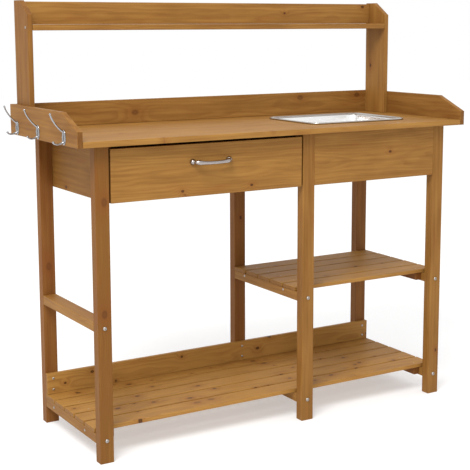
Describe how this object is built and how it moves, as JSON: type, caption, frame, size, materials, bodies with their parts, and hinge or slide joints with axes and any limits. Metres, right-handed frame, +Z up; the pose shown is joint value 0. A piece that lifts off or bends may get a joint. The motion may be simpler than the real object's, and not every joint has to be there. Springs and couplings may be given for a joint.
{
  "type": "potting bench",
  "caption": "Wooden potting bench with a drawer, drop-in steel basin, slatted shelves, raised hutch shelf and side hooks.",
  "frame": {"origin": "on the floor under the middle of the whole bench, counting the hooks on its left end", "axes": "+X to the right along the bench, +Y from the user's side to the back, +Z up"},
  "size_m": [1.2806, 0.4586, 1.1856],
  "materials": {
    "pine_frame": "oiled, satin",
    "pine_board": "oiled, satin",
    "pine_slat": "oiled, satin",
    "plywood": "plain, matt",
    "chrome": "polished",
    "zinc": "zinc plated, satin",
    "stainless": "satin"
  },
  "bodies": {
    "bench": {"leg_front_left": "pine_frame", "leg_back_left": "pine_frame", "leg_front_centre": "pine_frame", "leg_back_centre": "pine_frame", "leg_front_right": "pine_frame", "leg_back_right": "pine_frame", "lower_rail_left": "pine_frame", "lower_rail_centre": "pine_frame", "lower_rail_right": "pine_frame", "stretcher_left": "pine_frame", "middle_rail_centre": "pine_frame", "middle_rail_right": "pine_frame", "bolt_lower_rail_left": "zinc", "bolt_lower_rail_centre": "zinc", "bolt_lower_rail_right": "zinc", "bolt_stretcher_left": "zinc", "bolt_middle_rail_centre": "zinc", "bolt_middle_rail_right": "zinc", "lower_slat_1": "pine_slat", "lower_slat_2": "pine_slat", "lower_slat_3": "pine_slat", "lower_slat_4": "pine_slat", "lower_slat_5": "pine_slat", "middle_slat_1": "pine_slat", "middle_slat_2": "pine_slat", "middle_slat_3": "pine_slat", "middle_slat_4": "pine_slat", "middle_slat_5": "pine_slat", "batten_lower_left": "pine_frame", "batten_lower_right": "pine_frame", "batten_middle_left": "pine_frame", "batten_middle_right": "pine_frame", "lower_back_board": "pine_frame", "apron_left": "pine_board", "apron_right": "pine_board", "apron_back": "pine_board", "centre_divider": "pine_board", "front_panel": "pine_board", "drawer_runner_left": "pine_frame", "drawer_runner_right": "pine_frame", "worktop": "pine_board", "side_board_left": "pine_board", "side_board_right": "pine_board", "splash_board": "pine_board", "hutch_post_left": "pine_frame", "hutch_post_right": "pine_frame", "hutch_shelf": "pine_board", "hutch_fascia": "pine_board", "hook_1": "chrome", "hook_2": "chrome", "hook_3": "chrome"},
    "drawer": {"drawer_front": "pine_board", "drawer_side_left": "plywood", "drawer_side_right": "plywood", "drawer_back": "plywood", "drawer_bottom": "plywood", "drawer_handle": "chrome"},
    "sink": {"sink_basin": "stainless"}
  },
  "joints": [
    {"name": "drawer_slide", "type": "slide", "parent": "bench", "child": "drawer", "axis": [0, -1, 0], "range_m": [0, 0.26]},
    {"name": "sink_lift", "type": "slide", "parent": "bench", "child": "sink", "axis": [0, 0, 1], "range_m": [0, 0.15]}
  ]
}
